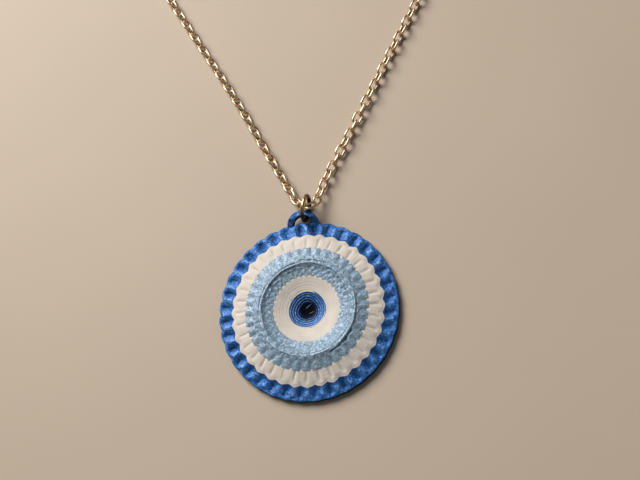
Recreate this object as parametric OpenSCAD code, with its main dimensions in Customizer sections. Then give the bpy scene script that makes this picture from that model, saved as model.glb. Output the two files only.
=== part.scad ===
// Circle pendant necklace lying on a table: a printed disc with an eyelet, a jump ring,
// a fine cable chain laid out as one whole loop, and a clasp with its end ring.
// Origin: middle of the disc's back. +Y points from the disc to the eyelet, +Z up from the table.

/* [Pendant disc] */
// Diameter over the rim
disc_d = 40; // [38:0.5:42]
// Height of the upright edge at the rim
rim_h = 1.4; // [1.2:0.1:1.5]
// Height where the blue band ends and the white one starts
blue_h = 1.7; // [1.6:0.1:1.9]
// Height where the white band ends and the light blue one starts
white_h = 2.6; // [2.4:0.1:2.8]
// Height of the round ridge
ridge_h = 3.8; // [3.6:0.1:4.2]
// Height of the flat floor of the middle pit
pit_h = 0.6; // [0.4:0.1:0.8]
// Number of lobes round the rim
lobe_count = 36; // [24:1:40]
// Depth of the crease between two lobes, at the rim
crease_depth = 0.3; // [0.1:0.05:0.4]

/* [Eyelet] */
// Diameter of the eyelet's middle line
eyelet_d = 6.1; // [6:0.1:6.4]
// Thickness of the eyelet's bar
eyelet_bar = 1.3; // [1.1:0.1:1.4]

/* [Jump ring] */
// Outer diameter of the jump ring
jump_od = 6.4; // [6.2:0.1:6.6]
// Thickness of its wire
jump_wire = 0.9; // [0.7:0.1:0.9]

/* [Chain] */
// Thickness of the chain across its links
chain_d = 2; // [1.6:0.1:2]

/* [Clasp] */
// Outer diameter of the clasp's ring
clasp_od = 5.8; // [5.8:0.1:6.2]
// Thickness of the clasp's ring
clasp_wire = 1; // [0.8:0.1:1.1]
// Outer diameter of the end ring that the clasp closes on
end_ring_od = 5; // [4.9:0.1:5.2]
// Thickness of the end ring's wire
end_ring_wire = 0.8; // [0.6:0.1:0.9]

/* [Hidden] */
$fn = 96;

disc_r = disc_d / 2;
seat = 0.02;            // clearance under the rings and the chain
foot_edge = 0.2;        // bevel round the back face
lobe_phase = 2.8;       // direction of the first lobe, from +X
crease_r = 0.9;         // radius of the round cutter that makes a crease
cutter_reach = 1;       // how far a cutter starts outside the rim
blue_share = 0.845;     // radius of the blue band's inner edge, as a share of the disc's
outer_drop = 0.2;       // how far the ridge falls on its outer side before the slope
inner_drop = 0.5;       // and on its side towards the middle
// The disc's face from the rim to the middle: [share of the disc's radius, height]
FACE = [
    [1, rim_h],
    [blue_share, blue_h],
    [0.68, white_h],
    [0.555, ridge_h - outer_drop],
    [0.54, ridge_h],
    [0.5, ridge_h],
    [0.47, ridge_h - inner_drop],
    [0.37, white_h],
    [0.2, blue_h],
    [0.095, pit_h],
    [0, pit_h]
];

eyelet_inset = 1;             // the middle of the eyelet lies this far inside the rim
eyelet_y = disc_r - eyelet_inset;
eyelet_x = -0.1;
eyelet_z = 1.42;
eyelet_tilt = 9;              // lifts the outer bar over the jump ring and sinks the inner one

drawn_r = 20;                 // radius of the disc that the places below are drawn for
above = [0, disc_r - drawn_r, 0];   // what is beyond the eyelet moves with the rim

jump_place = [1, 22.65, jump_od / 2 + seat];
jump_turn = 13;               // the ring's upright plane, turned from +Y towards +X

wire_sides = 32;              // sides of a ring's round wire
chain_sides = 8;              // sides of the chain's tube
ring_step = 6;                // usual distance between two rings of the swept tube
lay = chain_d / 2 + seat;     // height of the chain's middle where it lies on the table
// Route of the chain's middle from the clasp round to the end ring
ROUTE = [
    [-6.3, 201, lay],
    [-14, 199.5, lay],
    [-27, 194, lay],
    [-42, 181.5, lay],
    [-52.5, 164, lay],
    [-56.5, 145, lay],
    [-54, 127.5, lay],
    [-47, 111.5, lay],
    [-39.4, 97, lay],
    [-31.6, 83, lay],
    [-24.8, 70.5, lay],
    [-18.2, 58.5, lay],
    [-13.1, 48.5, lay],
    [-8.8, 40, lay],
    [-5.2, 33, lay + 0.1],
    [-2.8, 28.2, lay + 0.4],
    [-1.4, 24.9, lay + 1.3],
    [0.9, 22.8, lay + 2.4],
    [3.4, 23.9, lay + 1.5],
    [4.4, 27.2, lay + 0.4],
    [6.8, 32.2, lay + 0.1],
    [10.7, 39, lay],
    [15, 46.5, lay],
    [19.4, 54.5, lay],
    [24.5, 63.5, lay],
    [30.5, 74, lay],
    [37.5, 86.5, lay],
    [45.1, 100, lay],
    [52.5, 114.5, lay],
    [57.5, 130.5, lay],
    [58.5, 148.5, lay],
    [53.5, 166.5, lay],
    [42, 183, lay],
    [27, 194.5, lay],
    [14, 199.5, lay],
    [4.4, 201, lay]
];

clasp_place = [-1, 201, 1.12];
clasp_tilt = -9;              // the end ring passes under the clasp's right side and lifts it
clasp_eye_d = 1.8;            // middle line of the small eye that holds the chain
clasp_eye_wire = 0.7;
end_ring_lean = 80;           // the end ring leans back a little from upright
end_ring_place = [1.7, 201, 2.49];

// A point of the smooth curve through four neighbours of a route, t from 0 to 1
function curve_point(a, b, c, d, t) =
    0.5 * (2 * b + (c - a) * t + (2 * a - 5 * b + 4 * c - d) * t * t
        + (3 * b - a - 3 * c + d) * t * t * t);

// The route with a made-up neighbour beyond each end
function with_ends(route) =
    let (last = len(route) - 1)
    concat([2 * route[0] - route[1]], route, [2 * route[last] - route[last - 1]]);

// Points along the route about ring_step apart, at least one for each of its stretches
function smooth(route) =
    let (p = with_ends(route), last = len(route) - 1)
    concat(
        [for (i = [1 : last])
            let (steps = max(1, round(norm(p[i + 1] - p[i]) / ring_step)))
            for (k = [0 : steps - 1])
                curve_point(p[i - 1], p[i], p[i + 1], p[i + 2], k / steps)],
        [route[last]]
    );

function unit(v) = v / norm(v);

// Direction of the path at point i
function heading(path, i) =
    unit(path[min(i + 1, len(path) - 1)] - path[max(i - 1, 0)]);

// One ring of the tube: its corners round path point i, with a flat side down
function tube_ring(path, i, r) =
    let (
        ahead = heading(path, i),
        side = unit(cross(ahead, [0, 0, 1])),
        up = cross(side, ahead)
    )
    [for (k = [0 : chain_sides - 1])
        let (a = (k + 0.5) * 360 / chain_sides)
        path[i] + r * (cos(a) * side + sin(a) * up)];

module swept_tube(path, d) {
    r = d / 2 / cos(180 / chain_sides);
    rings = len(path);
    points = [for (i = [0 : rings - 1]) each tube_ring(path, i, r)];
    walls = [for (i = [0 : rings - 2], k = [0 : chain_sides - 1])
        let (here = i * chain_sides, next = (k + 1) % chain_sides)
        [here + k, here + chain_sides + k, here + chain_sides + next, here + next]];
    start_cap = [for (k = [0 : chain_sides - 1]) k];
    end_cap = [for (k = [chain_sides - 1 : -1 : 0]) (rings - 1) * chain_sides + k];
    polyhedron(points, concat([start_cap], walls, [end_cap]));
}

module wire_ring(od, wire) {
    rotate_extrude() translate([(od - wire) / 2, 0]) circle(d = wire, $fn = wire_sides);
}

module disc_body() {
    rotate_extrude() polygon(concat(
        [[0, 0], [disc_r - foot_edge, 0], [disc_r, foot_edge]],
        [for (row = FACE) [row[0] * disc_r, row[1]]]
    ));
}

// Round cutters that rise out of the blue band on their way in, one between each two lobes
module creases() {
    band_w = disc_r * (1 - blue_share);
    slope = atan((blue_h - rim_h + crease_depth) / band_w);
    for (i = [0 : lobe_count - 1])
        rotate([0, 0, lobe_phase + (i + 0.5) * 360 / lobe_count])
            translate([disc_r, 0, rim_h - crease_depth])
                rotate([0, -90 - slope, 0])
                    translate([-crease_r, 0, -cutter_reach])
                        cylinder(r = crease_r, h = band_w + 2 * cutter_reach);
}

module eyelet() {
    translate([eyelet_x, eyelet_y, eyelet_z])
        rotate([eyelet_tilt, 0, 0])
            wire_ring(eyelet_d + eyelet_bar, eyelet_bar);
}

module pendant() {
    color("royalblue") {
        difference() {
            disc_body();
            creases();
        }
        eyelet();
    }
}

module jump_ring() {
    color("peru")
        translate(jump_place + above)
            rotate([0, 90, -jump_turn])
                wire_ring(jump_od, jump_wire);
}

module chain() {
    color("gold") translate(above) swept_tube(smooth(ROUTE), chain_d);
}

module clasp() {
    eye_x = -(clasp_od + clasp_eye_d) / 2;
    color("goldenrod")
        translate(clasp_place + above)
            rotate([0, clasp_tilt, 0]) {
                wire_ring(clasp_od, clasp_wire);
                translate([eye_x, 0, 0]) wire_ring(clasp_eye_d + clasp_eye_wire, clasp_eye_wire);
            }
}

module end_ring() {
    color("gold")
        translate(end_ring_place + above)
            rotate([end_ring_lean, 0, 0])
                wire_ring(end_ring_od, end_ring_wire);
}

pendant();
jump_ring();
chain();
clasp();
end_ring();
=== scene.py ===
import bpy
import bmesh
from math import atan2, cos, degrees, exp, pi, radians, sin
from mathutils import Matrix, Vector, noise


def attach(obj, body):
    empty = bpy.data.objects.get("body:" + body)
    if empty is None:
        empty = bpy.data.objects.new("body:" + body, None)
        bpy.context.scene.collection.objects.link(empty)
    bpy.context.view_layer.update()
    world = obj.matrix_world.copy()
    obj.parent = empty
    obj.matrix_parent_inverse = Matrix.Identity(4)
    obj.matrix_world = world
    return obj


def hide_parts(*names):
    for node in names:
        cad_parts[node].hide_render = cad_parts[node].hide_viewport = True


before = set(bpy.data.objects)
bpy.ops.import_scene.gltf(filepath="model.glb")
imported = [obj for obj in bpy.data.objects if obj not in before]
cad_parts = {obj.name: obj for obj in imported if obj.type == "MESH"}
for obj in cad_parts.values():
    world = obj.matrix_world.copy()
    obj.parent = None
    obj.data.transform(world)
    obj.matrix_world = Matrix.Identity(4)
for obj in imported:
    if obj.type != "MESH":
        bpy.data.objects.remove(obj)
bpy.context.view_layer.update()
mm = 0.001              # pieces are shaped in millimetres and scaled to metres at the end
print("frame loaded:", sorted(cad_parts))


# Helpers for meshes

def finishMesh(name, bm, material, node):
    # cleans a bmesh, makes its object and ties it to the frame
    bmesh.ops.remove_doubles(bm, verts=bm.verts, dist=1e-7)
    bmesh.ops.recalc_face_normals(bm, faces=bm.faces)
    for face in bm.faces:
        face.smooth = True
    mesh = bpy.data.meshes.new(name)
    bm.to_mesh(mesh)
    bm.free()
    mesh.materials.append(material)
    piece = bpy.data.objects.new(name, mesh)
    bpy.context.scene.collection.objects.link(piece)
    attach(piece, "root")
    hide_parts(node)
    print("made", name, len(mesh.polygons), "faces")


def spinRing(bm, ringR, section, steps, turn=2 * pi, start=0.0):
    # spins a closed outline of (outward, up) points about Z and returns the new verts
    verts = [bm.verts.new((ringR + x, 0, z)) for x, z in section]
    edges = [bm.edges.new((verts[i], verts[(i + 1) % len(verts)])) for i in range(len(verts))]
    bmesh.ops.rotate(bm, verts=verts, cent=(0, 0, 0), matrix=Matrix.Rotation(start, 3, "Z"))
    whole = abs(turn - 2 * pi) < 1e-6
    before = set(bm.verts) - set(verts)
    done = bmesh.ops.spin(bm, geom=verts + edges, cent=(0, 0, 0), axis=(0, 0, 1), dvec=(0, 0, 0),
                          angle=turn, steps=steps, use_merge=whole, use_duplicate=False)
    if not whole:
        last = [g for g in done["geom_last"] if isinstance(g, bmesh.types.BMEdge)]
        bmesh.ops.edgeloop_fill(bm, edges=edges)
        bmesh.ops.edgeloop_fill(bm, edges=last)
    return [v for v in bm.verts if v not in before]


def roundSection(radius, count):
    return [(radius * cos(2 * pi * i / count), radius * sin(2 * pi * i / count)) for i in range(count)]


def wireRing(bm, outer, wire, sides, steps):
    # a closed ring of round wire round Z, by its outer diameter
    return spinRing(bm, (outer - wire) / 2, roundSection(wire / 2, sides), steps)


def turnVerts(bm, verts, angle, axis):
    bmesh.ops.rotate(bm, verts=verts, cent=(0, 0, 0), matrix=Matrix.Rotation(angle, 3, axis))


def toMetres(bm):
    bmesh.ops.scale(bm, vec=(mm, mm, mm), verts=bm.verts)


def between(x, table):
    # value at x in a table of (x, value) rows sorted by x
    if x <= table[0][0]:
        return table[0][1]
    for (x0, y0), (x1, y1) in zip(table, table[1:]):
        if x <= x1:
            return y0 + (y1 - y0) * (x - x0) / (x1 - x0)
    return table[-1][1]


def smoothStep(x):
    x = min(1, max(0, x))
    return x * x * (3 - 2 * x)


# Shader arithmetic: an expression on these values adds its own nodes

class Flow:
    def __init__(self, tree, socket=None):
        self.tree = tree
        self.socket = socket

    def make(self, kind, settings=None, sockets=None, out=0):
        node = self.tree.nodes.new("ShaderNode" + kind)
        for key, value in (settings or {}).items():
            if key == "stops":
                self.fillRamp(node.color_ramp, value)
            else:
                setattr(node, key, value)
        for key, value in (sockets or {}).items():
            if isinstance(value, Flow):
                self.tree.links.new(value.socket, node.inputs[key])
            else:
                node.inputs[key].default_value = value
        return Flow(self.tree, node.outputs[out])

    def fillRamp(self, ramp, stops):
        while len(ramp.elements) < len(stops):
            ramp.elements.new(0.5)
        for element, (place, colour) in zip(ramp.elements, stops):
            element.position = place
            element.color = (*colour, 1)

    def math(self, operation, *values):
        return self.make("Math", {"operation": operation}, dict(enumerate(values)))

    def mixColour(self, factor, a, b, blend="MIX"):
        return self.make("Mix", {"data_type": "RGBA", "blend_type": blend}, {0: factor, 6: a, 7: b}, out=2)

    def noise(self, point, scale, detail, roughness=0.5):
        sockets = {"Vector": point, "Scale": scale, "Detail": detail, "Roughness": roughness}
        return self.make("TexNoise", {}, sockets)

    def ramp(self, stops):
        return self.make("ValToRGB", {"stops": stops}, {0: self})

    def span(self, low, high, a=0.0, b=1.0):
        return self.make("MapRange", {}, {0: self, 1: low, 2: high, 3: a, 4: b})

    def __add__(self, other):
        return self.math("ADD", self, other)

    def __radd__(self, other):
        return self.math("ADD", other, self)

    def __sub__(self, other):
        return self.math("SUBTRACT", self, other)

    def __rsub__(self, other):
        return self.math("SUBTRACT", other, self)

    def __mul__(self, other):
        return self.math("MULTIPLY", self, other)

    def __rmul__(self, other):
        return self.math("MULTIPLY", other, self)


def newMaterial(name):
    # a material with its Principled shader, and a Flow to build on
    material = bpy.data.materials.new(name)
    material.use_nodes = True
    tree = material.node_tree
    return material, tree.nodes["Principled BSDF"], Flow(tree)


def join(flow, shader, socket):
    flow.tree.links.new(flow.socket, shader.inputs[socket])


def placeInMm(flow):
    # object position in mm as x, y and z
    point = flow.make("TexCoord", out=3)
    outs = flow.make("SeparateXYZ", {}, {0: point}).socket.node.outputs
    return [Flow(flow.tree, outs[i]) * 1000 for i in range(3)]


# Camera: the photograph's angle

camera = {
    "place": (0.04481, -0.0563, 0.20484),
    "aim": (0.00321, 0.01601, 0.0),
    "roll": -2.74,      # degrees
    "lens": 56,         # mm, as is the sensor's width
    "sensor": 36,
    "nearest": 0.005,
}


def placeCamera(c):
    data = bpy.data.cameras.new("camera")
    data.sensor_fit = "HORIZONTAL"
    data.sensor_width = c["sensor"]
    data.lens = c["lens"]
    data.clip_start = c["nearest"]
    look = (Vector(c["aim"]) - Vector(c["place"])).normalized()
    right = look.cross(Vector((0, 1, 0))).normalized()
    up = right.cross(look)
    roll = radians(c["roll"])
    side = right * cos(roll) + up * sin(roll)
    top = up * cos(roll) - right * sin(roll)
    holder = bpy.data.objects.new("camera", data)
    holder.matrix_world = Matrix((
        (side.x, top.x, -look.x, c["place"][0]),
        (side.y, top.y, -look.y, c["place"][1]),
        (side.z, top.z, -look.z, c["place"][2]),
        (0, 0, 0, 1),
    ))
    bpy.context.scene.collection.objects.link(holder)
    bpy.context.scene.camera = holder


placeCamera(camera)
print("camera placed")


# Printed disc

disc = {
    "radius": 20.0,         # mm, over the lobes
    "notch": (0.27, 0.17),  # mean depth of the notches in the rim's outline, and how much it varies
    "notchTurn": 0.8,       # radians; the outline is nearly smooth at the lower right
    "notchFrom": 17.6,      # radius from which the face draws in towards the notches
    "lobes": 36,
    "firstLobe": 2.75,      # degrees from +X
    "columns": 14,          # mesh columns to a lobe, even, so that every crease falls on one
    # radius and height of the smooth form under the pleats
    "form": [(0, 0.6), (1.0, 0.6), (1.6, 0.67), (2.25, 0.9), (3.4, 1.43), (4.0, 1.7), (5.36, 2.05),
             (6.72, 2.44), (8.05, 2.76), (8.8, 2.89), (9.1, 2.96), (9.45, 3.17), (9.8, 3.41),
             (10.1, 3.49), (10.8, 3.5), (11.1, 3.38), (11.8, 3.1), (13.0, 2.78), (14.3, 2.42),
             (15.7, 2.07), (16.2, 1.93), (16.88, 1.69), (17.3, 1.5), (17.8, 1.4), (18.3, 1.37),
             (19.3, 1.36), (19.7, 1.35), (20.0, 1.31)],
    # each kind of crease: its table, the place of its crests in a lobe, and its power; the pleats are
    # nearly flat between sharp creases, and the others are folds with straight sides
    "folds": [("pleats", 0, 4), ("halfPleats", 0.5, 1.3)],
    # depth of the creases by radius
    "pleats": [(7.6, 0), (7.9, 0.1), (8.3, 0.1), (8.6, 0), (10.95, 0), (11.15, 0.16), (11.5, 0.2),
               (11.9, 0), (13.2, 0), (13.9, 0.2), (15.4, 0.26), (16.4, 0.04), (16.8, 0), (19.0, 0),
               (19.4, 0.14), (20, 0.14)],
    "halfPleats": [(6.9, 0), (7.1, 0.05), (7.4, 0.08), (7.7, 0), (8.4, 0), (8.8, 0.12), (9.1, 0.12),
                   (9.4, 0), (9.8, 0.06), (10.9, 0.1), (11.7, 0.04), (12.2, 0.24), (13.3, 0.26),
                   (13.9, 0), (15.8, 0), (16.4, 0.18), (17.2, 0.26), (17.8, 0.48), (18.9, 0.48),
                   (19.5, 0.1)],
    "hollow": (9.4, 0.7),   # within this radius the creases are deeper at the top, by this share
    # depth of the laid lines that run round the middle and the ridge
    "lines": [(1.6, 0), (1.9, 0.08), (4.0, 0.07), (4.6, 0.018), (6.8, 0.014), (7.3, 0), (9.7, 0),
              (9.9, 0.04), (10.9, 0.04), (11.2, 0)],
    "lineWidth": 0.5,
    "sway": [(1, 1, 0.2), (3, 0, 0.12)],    # of the lines: waves round the disc, start, and mm
    # loose threads on the ridge and grooves beside them: from and to in degrees, radius, height
    "threads": [(-62, 97, 10.85, 0.16), (30, 97, 10.1, 0.13), (96, 215, 9.9, 0.16),
                (88, 165, 9.1, 0.14), (215, 300, 10.6, 0.12), (150, 190, 10.7, 0.1),
                (40, 92, 11.5, 0.14), (98, 150, 9.65, -0.1), (35, 80, 9.75, -0.14),
                (60, 100, 10.5, -0.1), (95, 130, 10.3, -0.1), (-70, -25, 11.3, -0.24),
                (-32, 10, 11.25, -0.12), (200, 240, 9.6, -0.1)],
    "threadWidth": 0.15,
    "threadReach": 0.8,     # mm beside its radius, past which a thread counts for nothing
    "threadFade": 8,        # degrees over which a thread's end rises
    "threadWander": [(4, 0.16), (14, 0.05)],    # scale of the noise that moves it sideways, and mm
    "threadWear": (9, 0.9, 1.3),                # scale, middle and strength of its uneven height
    # heights by radius of the ragged band edges, the streaks on the white band, and the grain
    "jags": [(8.4, 0), (9.0, 0.18), (9.8, 0.2), (10.4, 0.1), (11.0, 0.18), (11.8, 0.12), (12.2, 0)],
    "streaks": [(13.4, 0), (14.0, 0.045), (16.4, 0.045), (16.9, 0)],
    "grain": [(1.9, 0), (2.2, 0.02), (4.0, 0.018), (4.3, 0.003), (7.1, 0.003), (7.5, 0.02),
              (9.4, 0.02), (9.8, 0.05), (10.9, 0.05), (11.3, 0.03), (13.3, 0.03), (13.7, 0.005),
              (16.4, 0.005), (17.0, 0.02), (18, 0.035), (20, 0.03)],
    # noise that runs round the disc: scale, change for each mm outwards, start, and strength
    "wander": (4, 0.5, 0, 0.09),        # moves the crests sideways, as a share of a lobe
    "uneven": (7, 0.3, 9, 0.5),         # in the depth of the creases
    "broken": (9, 1.5, 0, 0.8),         # in the laid lines
    "streaky": (36, 0.4, 0, 1),
    "jagged": [(8, 0, 5, 1), (22, 0, 2, 1)],
    # noise over the whole face: scale and strength
    "grainy": [(1.9, 1), (4.1, 0.8)],
    "swell": (0.35, 0.03),
    "swellFrom": 2,         # radius at which it sets in, and the mm that it takes to
    # width of the mesh rows, from the middle outwards
    "rows": [(0, 0.3), (1.6, 0.25), (2.0, 0.125), (6.9, 0.14), (7.2, 0.16), (9.4, 0.13),
             (11.2, 0.13), (11.4, 0.17), (20, 0.19)],
    "lastRows": (0.15, 0.05),           # where those rows stop inside the rim, and the last one's place
    "backRows": [0.0, 7.0, 14.0],       # radii
    "foot": 0.35,                       # how far the back's edge stands in from the outline
    "layers": 6,                        # printed layers on the upright edge, and their height
    "layerStep": 0.19,
    "layerRows": [(0.03, 0.06), (0.08, 0.012), (0.14, 0.012)],  # height and inset within a layer
}


def roundNoise(kind, x, y, r):
    scale, outwards, start, strength = kind
    return strength * noise.noise(Vector((x * scale, y * scale, r * outwards + start)))


def threadRise(d, thread, r, angle):
    # height that a loose thread or its groove adds at radius r
    first, last, lane, lift = thread
    along = (degrees(angle) - first) % 360
    if along >= last - first or abs(r - lane) >= d["threadReach"]:
        return 0.0
    way = Vector((cos(angle), sin(angle), 0))
    level = Vector((0, 0, lane))
    ends = smoothStep(along / d["threadFade"]) * smoothStep((last - first - along) / d["threadFade"])
    (broad, broadMm), (narrow, narrowMm) = d["threadWander"]
    lane += broadMm * noise.noise(way * broad + level) + narrowMm * noise.noise(way * narrow)
    scale, middle, strength = d["threadWear"]
    ends *= max(0, middle + strength * noise.noise(way * scale + Vector((0, 0, lane))))
    return lift * ends * exp(-((r - lane) / d["threadWidth"]) ** 2)


def faceHeight(d, r, angle, share):
    # height of the printed face at radius r and how far that lies above the pleats' middle height;
    # share is the place within a lobe
    x, y = cos(angle), sin(angle)
    share += roundNoise(d["wander"], x, y, r)
    depth = 1 + roundNoise(d["uneven"], x, y, r)
    hollowR, deeper = d["hollow"]
    if r < hollowR:
        depth *= 1 + deeper * sin(angle)
    rise = 0.0
    for table, crest, power in d["folds"]:
        off = abs((share - crest + 0.5) % 1 - 0.5) * 2
        rise += between(r, d[table]) * depth * (1 / (power + 1) - off ** power)
    sway = sum(size * sin(count * angle + start) for count, start, size in d["sway"])
    broken = 1 + roundNoise(d["broken"], x, y, r)
    rise += between(r, d["lines"]) * broken * cos(2 * pi * (r + sway) / d["lineWidth"])
    rise += between(r, d["streaks"]) * roundNoise(d["streaky"], x, y, r)
    for thread in d["threads"]:
        rise += threadRise(d, thread, r, angle)
    jag = between(r, d["jags"]) * sum(roundNoise(kind, x, y, r) for kind in d["jagged"])
    spot = Vector((x * r, y * r, 0))
    z = between(r + jag, d["form"]) + rise
    z += between(r, d["grain"]) * sum(strength * noise.noise(spot * scale) for scale, strength in d["grainy"])
    scale, swell = d["swell"]
    setIn = smoothStep((r - d["swellFrom"]) / d["swellFrom"])
    return z + swell * noise.noise(spot * scale) * setIn, rise


def discRows(d):
    # rows of the profile from the middle of the back to the middle of the face: height, or None on
    # the face; radius; and whether that is counted inwards from the rim's outline
    rows = [(0, r, False) for r in d["backRows"]] + [(0, d["foot"], True)]
    for n in range(d["layers"]):
        rows += [(d["layerStep"] * n + up, inset, True) for up, inset in d["layerRows"]]
    stop, last = d["lastRows"]
    face = []
    r = 0.0
    while r < d["radius"] - stop:
        face.append((None, r, False))
        r += between(r, d["rows"])
    return rows + [(None, d["radius"] - last, False)] + face[::-1]


def makeDisc(d):
    rows = discRows(d)
    columns = d["lobes"] * d["columns"]
    bm = bmesh.new()
    rowTag = bm.verts.layers.int.new("row")
    outline = []
    for index, (z, r, inwards) in enumerate(rows):
        # stand-in places, all apart, so that the spin keeps every row
        away = 0.0 if r == 0 and not inwards else 60.0 - 0.2 * index
        v = bm.verts.new((away, 0, 0 if z is None else z))
        v[rowTag] = index
        outline.append(v)
    edges = [bm.edges.new(pair) for pair in zip(outline, outline[1:])]
    bmesh.ops.spin(bm, geom=outline + edges, cent=(0, 0, 0), axis=(0, 0, 1), dvec=(0, 0, 0),
                   angle=2 * pi, steps=columns, use_merge=True, use_duplicate=False)
    height = bm.verts.layers.float.new("printHeight")
    relief = bm.verts.layers.float.new("relief")
    step = 2 * pi / columns
    phase = radians(d["firstLobe"])
    mean, vary = d["notch"]
    for v in bm.verts:
        z, r, inwards = rows[v[rowTag]]
        turn = round(atan2(v.co.y, v.co.x) / step)
        angle = turn * step + phase
        share = (turn % d["columns"]) / d["columns"]
        notch = (mean - vary * cos(angle + d["notchTurn"])) * (1 - abs(cos(pi * share)))
        if inwards:
            r = d["radius"] - notch - r
        elif z is None:
            r -= notch * smoothStep((r - d["notchFrom"]) / (d["radius"] - d["notchFrom"]))
            z, v[relief] = faceHeight(d, r, angle, share)
        v.co = Vector((r * cos(angle), r * sin(angle), z)) * mm
        v[height] = z
    return bm


# Printed eyelet on the rim

eyelet = {
    "place": (-0.1, 19.0),
    "ring": 3.05,           # radius of its middle line
    "width": 1.3,
    "thick": 1.3,
    "start": -24,           # degrees from +X, and how far round it goes
    "turn": 228,
    "steps": 72,
    "foot": 0.12,           # how far its underside stands in from its sides
    "lowest": 0.03,         # height of the underside
    "layers": 6,
    "layerRows": [(0.04, 0.1), (0.0, 0.5), (0.04, 0.9)],    # inset, and share of a layer's height
    "top": [(0.25, 0.0), (0.42, -0.03)],                    # inset, and height against the bar's
    "crown": 0.01,
    "lift": 1.2,            # how far the outer bar is raised over the jump ring
    "liftPlace": (0.2, 2.6),        # mm below the ring's middle where that starts, and its length
    "printHeight": (0.9, 0.7),      # its layers are printed beside the blue band's
    "patches": (1.2, 4, 0.45),      # scale, level and strength of its light and dark patches
    "litUpwards": (0.25, 0.8),         # painted light and shade: how much lighter it gets upwards, and the share where it is even
    "shake": (2, 3, 0.03),          # scales along and upwards, and mm, of its uneven layers
}


def makeEyelet(e):
    bm = bmesh.new()
    half, thick = e["width"] / 2, e["thick"]
    step = thick / e["layers"]
    side = [(half - inset, (i + share) * step) for i in range(e["layers"]) for inset, share in e["layerRows"]]
    side += [(half - inset, thick + up) for inset, up in e["top"]]
    foot = half - e["foot"]
    otherSide = [(-x, z) for x, z in reversed(side)]
    section = [(-foot, 0.0), (foot, 0.0)] + side + [(0, thick + e["crown"])] + otherSide
    spinRing(bm, e["ring"], section, e["steps"], radians(e["turn"]), radians(e["start"]))
    height = bm.verts.layers.float.new("printHeight")
    relief = bm.verts.layers.float.new("relief")
    liftFrom, liftOver = e["liftPlace"]
    printFrom, growth = e["printHeight"]
    patchScale, level, patches = e["patches"]
    litUpwards, even = e["litUpwards"]
    shakeScale, upwards, shakeMm = e["shake"]
    for v in bm.verts:
        x, y, z = v.co
        v[height] = printFrom + growth * z / thick
        patch = noise.noise(Vector((x * patchScale, y * patchScale, level)))
        # its relief holds the random patches, and painted light on the upper layers with painted shade on the
        # lower ones
        v[relief] = patches * patch + litUpwards * (z / thick - even)
        lift = e["lift"] * smoothStep((y + liftFrom) / liftOver)
        shake = noise.noise(Vector((x * shakeScale, y * shakeScale, z * upwards))) * shakeMm
        up = max(e["lowest"], z) + lift
        v.co = Vector((x + shake + e["place"][0], y + shake + e["place"][1], up)) * mm
    return bm


# Two stray strands in the pit

strands = {
    "ends": [((-0.55, 0.37), (0.81, 1.4)), ((0.06, -0.83), (1.38, -0.32))],
    "height": 0.7,
    "width": 0.12,
    "flatness": 0.7,        # thickness as a share of the width
    "segments": (10, 6),
    "printHeight": 3.0,     # they are of the last, light blue filament
    # counts as a hollow, so the material's painted shade darkens them
    "relief": -0.25,
}


def makeStrands(s):
    bm = bmesh.new()
    columns, rings = s["segments"]
    for (x0, y0), (x1, y1) in s["ends"]:
        made = bmesh.ops.create_uvsphere(bm, u_segments=columns, v_segments=rings, radius=s["width"] / 2)
        verts = made["verts"]
        run = Vector((x1 - x0, y1 - y0, 0))
        bmesh.ops.scale(bm, vec=(run.length / s["width"], 1, s["flatness"]), verts=verts)
        turnVerts(bm, verts, atan2(run.y, run.x), "Z")
        bmesh.ops.translate(bm, vec=((x0 + x1) / 2, (y0 + y1) / 2, s["height"]), verts=verts)
    toMetres(bm)
    height = bm.verts.layers.float.new("printHeight")
    relief = bm.verts.layers.float.new("relief")
    for v in bm.verts:
        v[height] = s["printHeight"]
        v[relief] = s["relief"]
    return bm


# Material of the print

filament = {
    "black": (0.0012, 0.002, 0.007),
    "navy": (0.006, 0.026, 0.12),
    "blue": (0.031, 0.142, 0.44),
    "white": (0.91, 0.835, 0.755),
    "lightBlue": (0.335, 0.475, 0.62),
    # colours of the painted glints on the blue and on the light blue filaments
    "blueGlint": (0.31, 0.5, 0.74),
    "paleGlint": (0.8, 0.88, 0.94),
    # mm of height at which the colour changes, and over how much
    "changes": [(0.74, 0.12, "black", "navy"), (1.06, 0.2, "navy", "blue"),
                (1.71, 0.012, "blue", "white"), (2.6, 0.012, "white", "lightBlue")],
    "rampTop": 4.0,             # mm of height at the end of the colour ramp
    # mm of height over which each look sets in
    "coloured": (0.68, 1.1),
    "whiteFrom": (1.7, 1.72),
    "paleFrom": (2.59, 2.61),
    "layer": 0.2,               # mm, height of a printed layer
    "squeeze": 2.5,             # how much finer the grain is upwards than along
}


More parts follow.
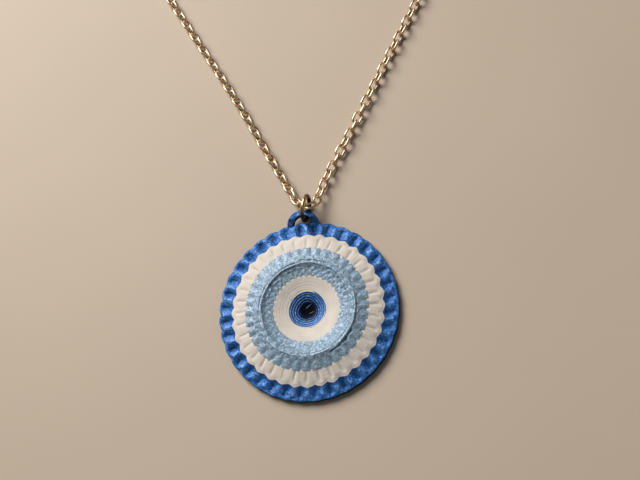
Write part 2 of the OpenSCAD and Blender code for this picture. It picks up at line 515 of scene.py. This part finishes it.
def printMaterial(f):
    material, shader, flow = newMaterial("printed_silk_plastic")
    h = flow.make("Attribute", {"attribute_name": "printHeight"}, out=2)
    rise = flow.make("Attribute", {"attribute_name": "relief"}, out=2)
    x, y, z = placeInMm(flow)
    r = flow.math("SQRT", x * x + y * y)
    stops = []
    for place, edge, below, above in f["changes"]:
        stops += [((place - edge) / f["rampTop"], f[below]), ((place + edge) / f["rampTop"], f[above])]
    base = (h * (1 / f["rampTop"])).ramp(stops)
    point = flow.make("CombineXYZ", {}, {0: x, 1: y, 2: z * f["squeeze"]})
    speck = flow.noise(point, 2.2, 4.0, 0.7)
    cloud = flow.noise(point, 0.35, 2.0)
    # white is the most matt and even of the filaments, and the first layers are black and smooth
    upper = h.span(*f["paleFrom"])
    white = h.span(*f["whiteFrom"]) * (1 - upper)
    coloured = h.span(*f["coloured"])
    silk = (1 - white) * coloured
    # painted shade in the hollows and painted highlight on the crests, with uneven patches of tone; the white
    # only gets painted shade in its creases
    shadeAndSpeckle = rise.span(-0.25, 0.15, -0.36, 0.2) + speck.span(0.3, 0.7, -0.5, 0.5)
    whiteShade = rise.span(-0.16, -0.08, -0.16, 0.0)
    # the painted shade and highlight and the random tone make one factor that the colour is multiplied by
    uneven = shadeAndSpeckle * silk + whiteShade * white + cloud.span(0.3, 0.7, -0.05, 0.05) + 1
    tint = flow.make("CombineColor", {}, {0: uneven, 1: uneven, 2: uneven})
    shaded = flow.mixColour(1.0, base, tint, "MULTIPLY")
    glint = flow.mixColour(upper, (*f["blueGlint"], 1), (*f["paleGlint"], 1))
    # painted highlights on the laid lines of the blue hollow, strongest at its lower left
    inHollow = 1 - r.span(4.1, 4.2)
    lowerLeft = 0.72 - (x + y) * 0.07
    laid = rise.span(0.0, 0.08) * inHollow * lowerLeft * speck.span(0.3, 0.6, 0.5, 1.15)
    # painted glints: light specks on the silk filaments, more of them on the crests, and the laid lines'
    # painted highlights
    paintedGlints = ((speck + rise * 0.4).span(0.54, 0.7) * 0.65 + laid) * silk
    join(flow.mixColour(paintedGlints, shaded, glint), shader, "Base Color")
    join(0.42 + white * 0.13 + upper * 0.06 + speck.span(0.35, 0.65, 0.05, -0.08), shader, "Roughness")
    join(silk * 0.42 - upper * 0.2, shader, "Metallic")
    # layers of the print, as fine lines along equal heights, under the filament's own grain
    layer = flow.math("PINGPONG", h, f["layer"] / 2) * (2 / f["layer"])
    fine = flow.noise(point, 4.0, 3.0, 0.6)
    bumps = fine * (silk * 0.9 + coloured * 0.1) + layer * 0.15
    join(flow.make("Bump", {}, {"Strength": 1.0, "Distance": 0.0001, "Height": bumps}), shader, "Normal")
    shader.inputs["Specular IOR Level"].default_value = 0.04
    shader.inputs["Coat Roughness"].default_value = 0.2
    join(silk * 0.18, shader, "Coat Weight")
    return material


# Wire metals

metals = {
    # painted shade: the colour goes from dark to light between the heights in mm, so the lower wire is
    # shaded; the random blotches also lean to the dark colour
    "pale_gold": {"colour": (0.95, 0.765, 0.55), "dark": (0.42, 0.25, 0.11), "rough": 0.36,
                  "heights": (0.1, 1.1)},
    "dark_gold": {"colour": (0.95, 0.66, 0.34), "dark": (0.06, 0.024, 0.01), "rough": 0.28,
                  "heights": (5.2, 6.2)},
}


def metalMaterial(name, m):
    material, shader, flow = newMaterial(name)
    x, y, z = placeInMm(flow)
    point = flow.make("CombineXYZ", {}, {0: x, 1: y, 2: z})
    blotch = flow.noise(point, 0.9, 3.0)
    fine = flow.noise(point, 6.0, 3.0)
    # painted shade below the heights, times random blotches
    light = z.span(*m["heights"]) * blotch.span(0.45, 0.72, 1.0, 0.55)
    join(flow.mixColour(light, (*m["dark"], 1), (*m["colour"], 1)), shader, "Base Color")
    join(m["rough"] + fine.span(0.35, 0.7, -0.03, 0.12), shader, "Roughness")
    join(flow.make("Bump", {}, {"Strength": 0.25, "Distance": 0.00003, "Height": fine}), shader, "Normal")
    shader.inputs["Metallic"].default_value = 1.0
    return material


printed = printMaterial(filament)
paleGold = metalMaterial("pale_gold", metals["pale_gold"])
darkGold = metalMaterial("dark_gold", metals["dark_gold"])
print("materials made")

finishMesh("disc_print", makeDisc(disc), printed, "pendant")
finishMesh("eyelet_print", makeEyelet(eyelet), printed, "pendant")
finishMesh("pit_strands", makeStrands(strands), printed, "pendant")


# Jump ring

jumpRing = {
    "place": (1.0, 22.65, 3.22),
    "turn": 13,             # degrees from +Y towards +X
    "outer": 6.385,
    "wire": 0.9,
    "gap": 2.2,             # degrees of the slit where the wire's ends meet
    "slitAt": 118,          # degrees round the ring
    "sides": 20,
    "steps": 90,
}


def makeJumpRing(j):
    bm = bmesh.new()
    spinRing(bm, (j["outer"] - j["wire"]) / 2, roundSection(j["wire"] / 2, j["sides"]), j["steps"],
             radians(360 - j["gap"]), radians(j["slitAt"]))
    turnVerts(bm, bm.verts, radians(90), "Y")
    turnVerts(bm, bm.verts, radians(-j["turn"]), "Z")
    bmesh.ops.translate(bm, vec=j["place"], verts=bm.verts)
    toMetres(bm)
    return bm


finishMesh("jump_ring_wire", makeJumpRing(jumpRing), darkGold, "jump_ring")


# Chain of oval links along its route

chain = {
    "pitch": 2.2,
    "length": 3.36,         # outer length of a link
    "width": 2.4,
    "wire": 0.58,
    "steps": 14,
    "sides": 6,
    # route of the chain's middle, from the clasp's eye round to the end ring
    "route": [
        (-6.0, 201, 1.12), (-14, 199.5, 1.05), (-27, 194, 1.05), (-42, 181.5, 1.05), (-52.3, 164, 1.05),
        (-56.2, 145, 1.05), (-53.9, 127.5, 1.05), (-47, 111.5, 1.05), (-39.4, 97, 1.05), (-31.6, 83, 1.05),
        (-24.8, 70.5, 1.05), (-18.2, 58.5, 1.05), (-13, 48.5, 1.05), (-8.9, 40, 1.05), (-5.4, 33, 1.1),
        (-3, 28.2, 1.44), (-1.4, 25, 2.3), (0.9, 23, 3.4), (3.1, 24.1, 2.5), (4.2, 27.2, 1.45),
        (6.7, 32.2, 1.16), (10.7, 39, 1.13), (15, 46.5, 1.15), (19.4, 54.5, 1.0), (24.5, 63.5, 1.0),
        (30.5, 74, 1.0), (37.5, 86.5, 1.0), (45.1, 100, 1.0), (52.5, 114.5, 1.0), (57.3, 130.5, 1.0),
        (58.2, 148.5, 1.0), (53.5, 166.5, 1.0), (42, 183, 1.0), (27, 194.5, 1.0), (14, 199.5, 1.0),
        (3.75, 201, 1.0),
    ],
    "fineness": 40,         # points of the smooth path for each stretch of the route
    "sight": (5, 6),        # how many of them behind and ahead give a link its direction
    # roll of the links in degrees, by the number of the route's point; every other link has 90 more
    "rolls": [(0, 38), (16, 38), (18, 30), (20, 36), (20.3, 66), (20.7, 66), (20.9, 38), (21.15, 38),
              (21.35, 66), (22.05, 66), (22.3, 44), (35, 45)],
    "shake": (0.7, 3, 4),   # change for each link, level and degrees of the noise in the roll
}


def routePoints(c):
    # a smooth curve through the route, as (point, route index)
    p = [Vector(q) for q in c["route"]]
    p = [2 * p[0] - p[1]] + p + [2 * p[-1] - p[-2]]
    out = []
    for i in range(1, len(p) - 2):
        a, b, e, d = p[i - 1:i + 3]
        for k in range(c["fineness"]):
            t = k / c["fineness"]
            out.append((0.5 * (2 * b + (e - a) * t + (2 * a - 5 * b + 4 * e - d) * t * t
                               + (3 * b - a - 3 * e + d) * t ** 3), i - 1 + t))
    out.append((p[-2], len(p) - 3))
    return out


def makeLink(c):
    # mesh of one oval link: a ring whose two halves are moved apart along X
    bm = bmesh.new()
    stretch = (c["length"] - c["width"]) / 2
    for v in wireRing(bm, c["width"], c["wire"], c["sides"], c["steps"]):
        v.co.x += stretch if v.co.x > 0 else -stretch
    bmesh.ops.recalc_face_normals(bm, faces=bm.faces)
    mesh = bpy.data.meshes.new("link")
    bm.to_mesh(mesh)
    bm.free()
    return mesh


def makeChain(c):
    link = makeLink(c)
    path = routePoints(c)
    total = sum((b[0] - a[0]).length for a, b in zip(path, path[1:]))
    count = round(total / c["pitch"])
    pitch = total / count
    perLink, level, shake = c["shake"]
    behind, before = c["sight"]
    bm = bmesh.new()
    along, at = 0.0, 0
    for n in range(count + 1):
        target = min(n * pitch, total - 1e-6)
        while at < len(path) - 2 and along + (path[at + 1][0] - path[at][0]).length < target:
            along += (path[at + 1][0] - path[at][0]).length
            at += 1
        a, b = path[at], path[at + 1]
        point = a[0].lerp(b[0], (target - along) / (b[0] - a[0]).length)
        ahead = (path[min(at + before, len(path) - 1)][0] - path[max(at - behind, 0)][0]).normalized()
        side = ahead.cross(Vector((0, 0, 1))).normalized()
        up = side.cross(ahead)
        uneven = shake * noise.noise(Vector((n * perLink, level, 0)))
        roll = radians(between(a[1], c["rolls"]) + 90 * (n % 2) + uneven)
        across = side * cos(roll) + up * sin(roll)
        normal = ahead.cross(across)
        place = Matrix((
            (ahead.x, across.x, normal.x, point.x),
            (ahead.y, across.y, normal.y, point.y),
            (ahead.z, across.z, normal.z, point.z),
            (0, 0, 0, 1),
        ))
        start = len(bm.verts)
        bm.from_mesh(link)
        bm.verts.ensure_lookup_table()
        bmesh.ops.transform(bm, matrix=place, verts=bm.verts[start:])
    toMetres(bm)
    bpy.data.meshes.remove(link)
    print("chain length", round(total, 1), "mm,", count + 1, "links")
    return bm


finishMesh("chain_links", makeChain(chain), paleGold, "chain")


# Clasp and end ring, out of the photograph

clasp = {
    "place": (-1, 201, 1.12),
    "tilt": -9,             # degrees; the end ring passes under its right side
    "outer": 5.79,
    "wire": 1.0,
    "sides": 18,
    "steps": 64,
    "eye": 2.5,             # outer diameter of the small eye that holds the chain
    "eyeWire": 0.7,
    "eyeSides": 14,
    "eyeSteps": 36,
}

endRing = {
    "place": (1.7, 201, 2.49),
    "lean": 80,             # degrees up from lying flat
    "outer": 5.0,
    "wire": 0.8,
    "sides": 16,
    "steps": 56,
}


def makeClasp(c):
    bm = bmesh.new()
    wireRing(bm, c["outer"], c["wire"], c["sides"], c["steps"])
    eye = wireRing(bm, c["eye"], c["eyeWire"], c["eyeSides"], c["eyeSteps"])
    middleLine = c["eye"] - c["eyeWire"]
    bmesh.ops.translate(bm, vec=(-(c["outer"] + middleLine) / 2, 0, 0), verts=eye)
    turnVerts(bm, bm.verts, radians(c["tilt"]), "Y")
    bmesh.ops.translate(bm, vec=c["place"], verts=bm.verts)
    toMetres(bm)
    return bm


def makeEndRing(c):
    bm = bmesh.new()
    wireRing(bm, c["outer"], c["wire"], c["sides"], c["steps"])
    turnVerts(bm, bm.verts, radians(c["lean"]), "X")
    bmesh.ops.translate(bm, vec=c["place"], verts=bm.verts)
    toMetres(bm)
    return bm


finishMesh("clasp_ring", makeClasp(clasp), paleGold, "clasp")
finishMesh("clasp_end_ring", makeEndRing(endRing), paleGold, "end_ring")


# Floor and lights

studio = {
    "floor": (0.7, 0.575, 0.45),
    "floorTones": (0.95, 1.04),     # its darkest and lightest, as shares of that colour
    "floorRoughness": 0.55,
    "floorHalf": 1.5,               # metres from its middle to an edge
    "world": (0.86, 0.83, 0.8),
    "worldStrength": 0.045,
    "target": (0, 0.03, 0),         # what each light faces
    # name, place, size, watts, colour
    "lights": [
        ("key", (-0.44, 0.55, 0.54), 0.52, 6.0, (1.0, 0.94, 0.86)),
        ("sky", (-0.57, 0.73, 0.91), 0.9, 5.8, (0.96, 0.97, 1.0)),
        ("fill", (0.42, -0.25, 0.65), 0.7, 0.34, (0.86, 0.93, 1.0)),
    ],
}


def makeFloor(s):
    bm = bmesh.new()
    bmesh.ops.create_grid(bm, x_segments=8, y_segments=8, size=s["floorHalf"])
    mesh = bpy.data.meshes.new("floor")
    bm.to_mesh(mesh)
    bm.free()
    material, shader, flow = newMaterial("pale_floor")
    x, y, z = placeInMm(flow)
    cloud = flow.noise(flow.make("CombineXYZ", {}, {0: x, 1: y, 2: z}), 0.02, 3.0)
    low, high = (tuple(v * tone for v in s["floor"]) for tone in s["floorTones"])
    join(flow.mixColour(cloud, (*low, 1), (*high, 1)), shader, "Base Color")
    shader.inputs["Roughness"].default_value = s["floorRoughness"]
    mesh.materials.append(material)
    floor = bpy.data.objects.new("floor", mesh)
    bpy.context.scene.collection.objects.link(floor)


def makeLights(s):
    world = bpy.data.worlds.new("studio")
    world.use_nodes = True
    background = world.node_tree.nodes["Background"]
    background.inputs["Color"].default_value = (*s["world"], 1)
    background.inputs["Strength"].default_value = s["worldStrength"]
    bpy.context.scene.world = world
    bpy.context.scene.view_settings.view_transform = "Standard"
    for name, place, size, watts, colour in s["lights"]:
        data = bpy.data.lights.new(name, "AREA")
        data.size = size
        data.energy = watts
        data.color = colour
        lamp = bpy.data.objects.new(name, data)
        lamp.location = place
        lamp.rotation_euler = (Vector(s["target"]) - Vector(place)).to_track_quat("-Z", "Y").to_euler()
        bpy.context.scene.collection.objects.link(lamp)


makeFloor(studio)
makeLights(studio)
print("floor and lights placed")
